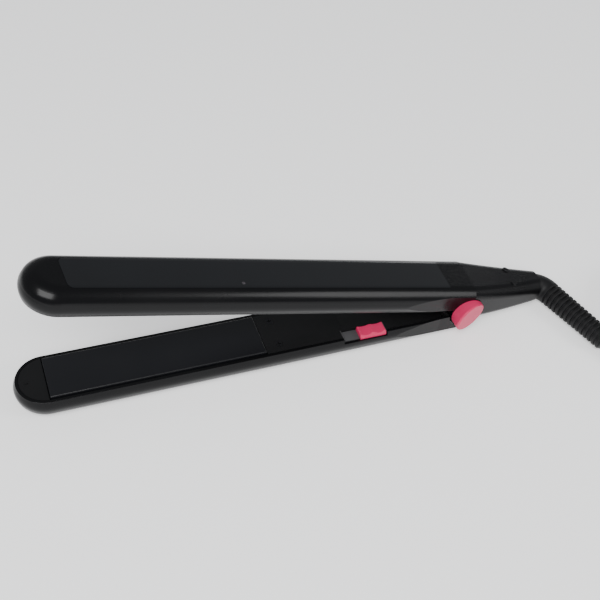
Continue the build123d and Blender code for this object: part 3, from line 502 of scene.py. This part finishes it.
@dataclass
class CoilTie:
    """A woven hook-and-loop strap wrapped round the coil's bundle."""

    turn: float = 130.0
    ring_radius: float = 0.0360
    middle_height: float = 0.0096
    half_side: float = 0.0089
    width: float = 0.009
    thickness: float = 0.0007
    corner: float = 4.2  # how square the wrap is; 2 is round

    def build(self, centre: tuple[float, float], wardrobe: Wardrobe) -> bpy.types.Object:
        """Makes the strap round the bundle.

        Args:
            centre: The coil's centre on the floor.
            wardrobe: Where its material comes from.

        Returns:
            The strap.
        """
        deselect_all()
        bpy.ops.mesh.primitive_cylinder_add(
            vertices=56, radius=1.0, depth=self.width, end_fill_type="NOTHING"
        )
        strap = bpy.context.object
        strap.name = "cord_strap"
        for vertex in strap.data.vertices:
            angle = math.atan2(vertex.co.y, vertex.co.x)
            reach = (abs(math.cos(angle)) ** self.corner
                     + abs(math.sin(angle)) ** self.corner) ** (-1 / self.corner)
            vertex.co.x = math.cos(angle) * reach * self.half_side
            vertex.co.y = math.sin(angle) * reach * self.half_side
        bpy.ops.object.mode_set(mode="EDIT")
        bpy.ops.mesh.select_all(action="SELECT")
        bpy.ops.mesh.subdivide(number_cuts=1)
        bpy.ops.object.mode_set(mode="OBJECT")
        solid = strap.modifiers.new("strap thickness", "SOLIDIFY")
        solid.thickness = self.thickness
        solid.offset = 1.0
        bpy.ops.object.modifier_apply(modifier=solid.name)
        bevel = strap.modifiers.new("soft edges", "BEVEL")
        bevel.width = self.thickness * 0.3
        bevel.segments = 2
        bevel.limit_method = "ANGLE"
        bpy.ops.object.modifier_apply(modifier=bevel.name)
        angle = math.radians(self.turn)
        radial = Vector((math.cos(angle), math.sin(angle), 0.0))
        along = Vector((-math.sin(angle), math.cos(angle), 0.0))
        up = Vector((0.0, 0.0, 1.0))
        basis = Matrix((radial, up, along)).transposed().to_4x4()
        place = Vector((centre[0], centre[1], self.middle_height)) + radial * self.ring_radius
        strap.matrix_world = Matrix.Translation(place) @ basis
        settle(strap)
        bpy.context.view_layer.objects.active = strap
        strap.select_set(True)
        bpy.ops.object.mode_set(mode="EDIT")
        bpy.ops.mesh.select_all(action="SELECT")
        bpy.ops.mesh.normals_make_consistent(inside=False)
        bpy.ops.object.mode_set(mode="OBJECT")
        bpy.ops.object.shade_smooth_by_angle(angle=math.radians(40))
        deselect_all()
        wardrobe.dress(strap, STRAP)
        return strap


@dataclass
class Plug:
    """A moulded two-pin plug with a finger grip and a short ribbed boot."""

    start: Point = (0.2570, -0.0439, 0.0245)
    boot: float = 0.009
    length: float = 0.028
    width: float = 0.026
    thickness: float = 0.013
    cord_radius: float = 0.003
    neck: float = 0.34  # share of the body's length that narrows towards the cord
    neck_cut: float = 0.18
    neck_width: float = 0.42
    neck_thickness: float = 0.74
    grip_from: float = 0.40  # share of the length where the grip's grooves begin
    grip_step: float = 0.038
    grip_count: int = 5
    grip_depth: float = 0.0007
    boot_flare: tuple[float, float] = (0.0006, 0.0024)
    boot_overlap: float = 0.002
    ring_count: int = 3
    ring_step: float = 0.0012
    ring_height: float = 0.0006

    def build(self, wardrobe: Wardrobe) -> bpy.types.Object:
        """Makes the plug's moulded body and boot as one piece, lying along +Y.

        Args:
            wardrobe: Where its material comes from.

        Returns:
            The plug's body.
        """
        body = self._body()
        boot = self._boot()
        deselect_all()
        boot.select_set(True)
        body.select_set(True)
        bpy.context.view_layer.objects.active = body
        bpy.ops.object.join()
        body = bpy.context.object
        body.name = "plug_grip"
        bpy.ops.object.shade_smooth_by_angle(angle=math.radians(35))
        deselect_all()
        wardrobe.dress(body, RUBBER)
        return body

    def _body(self) -> bpy.types.Object:
        """The flat body: wide at the pins, narrow at the cord, grooved on both faces."""
        deselect_all()
        bpy.ops.mesh.primitive_cube_add(size=1.0)
        body = bpy.context.object
        body.scale = (self.width, self.length, self.thickness)
        body.location = (self.start[0], self.start[1] + self.boot + self.length / 2,
                         self.start[2])
        settle(body)
        body.select_set(True)
        bpy.context.view_layer.objects.active = body
        back = self.start[1] + self.boot
        bpy.ops.object.mode_set(mode="EDIT")
        grooves = [self.grip_from + self.grip_step * i for i in range(2 * self.grip_count)]
        cuts = [self.neck_cut, self.neck] + grooves
        for share in cuts:
            bpy.ops.mesh.select_all(action="SELECT")
            bpy.ops.mesh.bisect(plane_co=(0, back + share * self.length, 0),
                                plane_no=(0, 1, 0))
        bpy.ops.mesh.select_mode(type="FACE")
        bpy.ops.object.mode_set(mode="OBJECT")
        for vertex in body.data.vertices:
            share = (vertex.co.y - back) / self.length
            if share < self.neck:
                widened = math.sin(min(share / self.neck, 1.0) * math.pi / 2)
                narrow = self.neck_width + (1 - self.neck_width) * widened
                vertex.co.x = self.start[0] + (vertex.co.x - self.start[0]) * narrow
                thickened = min(share / self.neck, 1.0)
                flat = self.neck_thickness + (1 - self.neck_thickness) * thickened
                vertex.co.z = self.start[2] + (vertex.co.z - self.start[2]) * flat
        for face in body.data.polygons:
            share = (face.center.y - back) / self.length
            step = (share - self.grip_from) / self.grip_step
            groove = 0 < step < 2 * self.grip_count - 1 and int(step) % 2 == 0
            face.select = groove and abs(face.normal.z) > 0.9
        bpy.ops.object.mode_set(mode="EDIT")
        bpy.ops.mesh.extrude_region_shrink_fatten(
            TRANSFORM_OT_shrink_fatten={"value": -self.grip_depth}
        )
        bpy.ops.mesh.select_all(action="SELECT")
        bpy.ops.mesh.normals_make_consistent(inside=False)
        bpy.ops.object.mode_set(mode="OBJECT")
        soften = body.modifiers.new("soft edges", "BEVEL")
        soften.width = 0.0009
        soften.segments = 3
        soften.limit_method = "ANGLE"
        soften.angle_limit = math.radians(38)
        bpy.ops.object.modifier_apply(modifier=soften.name)
        return body

    def _boot(self) -> bpy.types.Object:
        """The short boot on the cord, with its moulded rings."""
        deselect_all()
        thin, wide = (self.cord_radius + flare for flare in self.boot_flare)
        depth = self.boot + self.boot_overlap
        bpy.ops.mesh.primitive_cone_add(
            vertices=40, radius1=thin, radius2=wide, depth=depth,
            location=(self.start[0], self.start[1] + depth / 2, self.start[2]),
            rotation=(-math.pi / 2, 0, 0),
        )
        boot = bpy.context.object
        settle(boot)
        boot.select_set(True)
        bpy.context.view_layer.objects.active = boot
        bpy.ops.object.mode_set(mode="EDIT")
        for i in range(2 * self.ring_count):
            at = self.start[1] + (i + 1) * self.ring_step
            bpy.ops.mesh.select_all(action="SELECT")
            bpy.ops.mesh.bisect(plane_co=(0, at, 0), plane_no=(0, 1, 0))
        bpy.ops.object.mode_set(mode="OBJECT")
        for face in boot.data.polygons:
            step = (face.center.y - self.start[1]) / self.ring_step - 1
            face.select = 0 < step < 2 * self.ring_count - 1 and int(step) % 2 == 0
        bpy.ops.object.mode_set(mode="EDIT")
        bpy.ops.mesh.select_mode(type="FACE")
        bpy.ops.mesh.extrude_region_shrink_fatten(
            TRANSFORM_OT_shrink_fatten={"value": self.ring_height}
        )
        bpy.ops.object.mode_set(mode="OBJECT")
        soften = boot.modifiers.new("soft edges", "BEVEL")
        soften.width = 0.0002
        soften.segments = 2
        soften.limit_method = "ANGLE"
        bpy.ops.object.modifier_apply(modifier=soften.name)
        return boot


# ------------------------------------------------------------------ floor, light and camera


@dataclass
class Studio:
    """A pale floor, soft light and the camera."""

    lens_mm: float = 60.2
    floor_size: float = 8.0
    floor_height: float = -0.0003
    camera_at: Point = (-0.1554, -0.3125, 0.4093)
    right: Point = (0.9354, -0.3375, 0.1035)
    up: Point = (0.1825, 0.7132, 0.6765)

    def build(self) -> None:
        """Makes all of the studio."""
        self._floor()
        self._sky()
        self._softbox("key softbox", (-0.55, -0.75, 1.20), (0.0, 0.0, 0.0), (1.1, 0.8), 26.0)
        self._softbox("far strip", (0.75, 0.95, 0.20), (0.05, 0.0, 0.05), (0.9, 0.08), 0.7)
        self._softbox("side softbox", (0.9, -0.6, 0.7), (0.05, 0.0, 0.0), (0.5, 0.5), 5.0)
        self._camera()

    def _floor(self) -> None:
        """The pale floor, which isn't part of the object."""
        deselect_all()
        bpy.ops.mesh.primitive_plane_add(size=self.floor_size, location=(0, 0, self.floor_height))
        floor = bpy.context.object
        floor.name = "floor"
        mat = bpy.data.materials.new("pale floor")
        mat.use_nodes = True
        surface = mat.node_tree.nodes["Principled BSDF"]
        surface.inputs["Base Color"].default_value = (0.93, 0.93, 0.93, 1.0)
        surface.inputs["Roughness"].default_value = 0.8
        surface.inputs["Emission Color"].default_value = (1.0, 1.0, 1.0, 1.0)
        surface.inputs["Emission Strength"].default_value = 0.45
        floor.data.materials.append(mat)

    def _sky(self) -> None:
        """Even light from all round."""
        world = bpy.data.worlds.new("studio")
        world.use_nodes = True
        sky = world.node_tree.nodes["Background"]
        sky.inputs["Color"].default_value = (0.93, 0.96, 1.0, 1.0)
        sky.inputs["Strength"].default_value = 0.38
        bpy.context.scene.world = world

    def _softbox(self, name: str, place: Point, aim: Point, size: tuple[float, float],
                 watts: float) -> None:
        """One rectangular light.

        Args:
            name: Its name.
            place: Where it is.
            aim: The point that it faces.
            size: Its width and height in metres.
            watts: Its power.
        """
        data = bpy.data.lights.new(name, "AREA")
        data.shape = "RECTANGLE"
        data.size, data.size_y = size
        data.energy = watts
        light = bpy.data.objects.new(name, data)
        light.location = place
        light.rotation_euler = (Vector(aim) - Vector(place)).to_track_quat("-Z", "Y").to_euler()
        bpy.context.scene.collection.objects.link(light)

    def _camera(self) -> None:
        """The camera, turned by its right and up directions."""
        right, up = Vector(self.right).normalized(), Vector(self.up)
        up = (up - right * up.dot(right)).normalized()
        data = bpy.data.cameras.new("camera")
        data.lens = self.lens_mm
        data.sensor_width = 36.0
        data.clip_start = 0.01
        camera = bpy.data.objects.new("camera", data)
        turn = Matrix((right, up, right.cross(up))).transposed().to_4x4()
        camera.matrix_world = Matrix.Translation(self.camera_at) @ turn
        bpy.context.scene.collection.objects.link(camera)
        bpy.context.scene.camera = camera


def main() -> None:
    """Builds the scene round the frame."""
    logging.basicConfig(level=logging.INFO, format="%(message)s")
    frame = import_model()
    wardrobe = Wardrobe()
    IronParts().dress(frame["nodes"], wardrobe)

    Studio().build()

    cord_maker = MainsCord()
    cord = cord_maker.build(wardrobe)
    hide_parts("cord_tube", "cord_coil", "cord_tail")
    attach(cord, "upper_arm")
    strap = CoilTie().build(cord_maker.coil.centre, wardrobe)
    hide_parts("coil_tie")
    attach(strap, "upper_arm")
    grip = Plug().build(wardrobe)
    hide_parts("plug_body")
    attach(grip, "upper_arm")
    for piece in (cord, strap, grip):
        log.info("%s: made", piece.name)


if __name__ == "__main__":
    main()
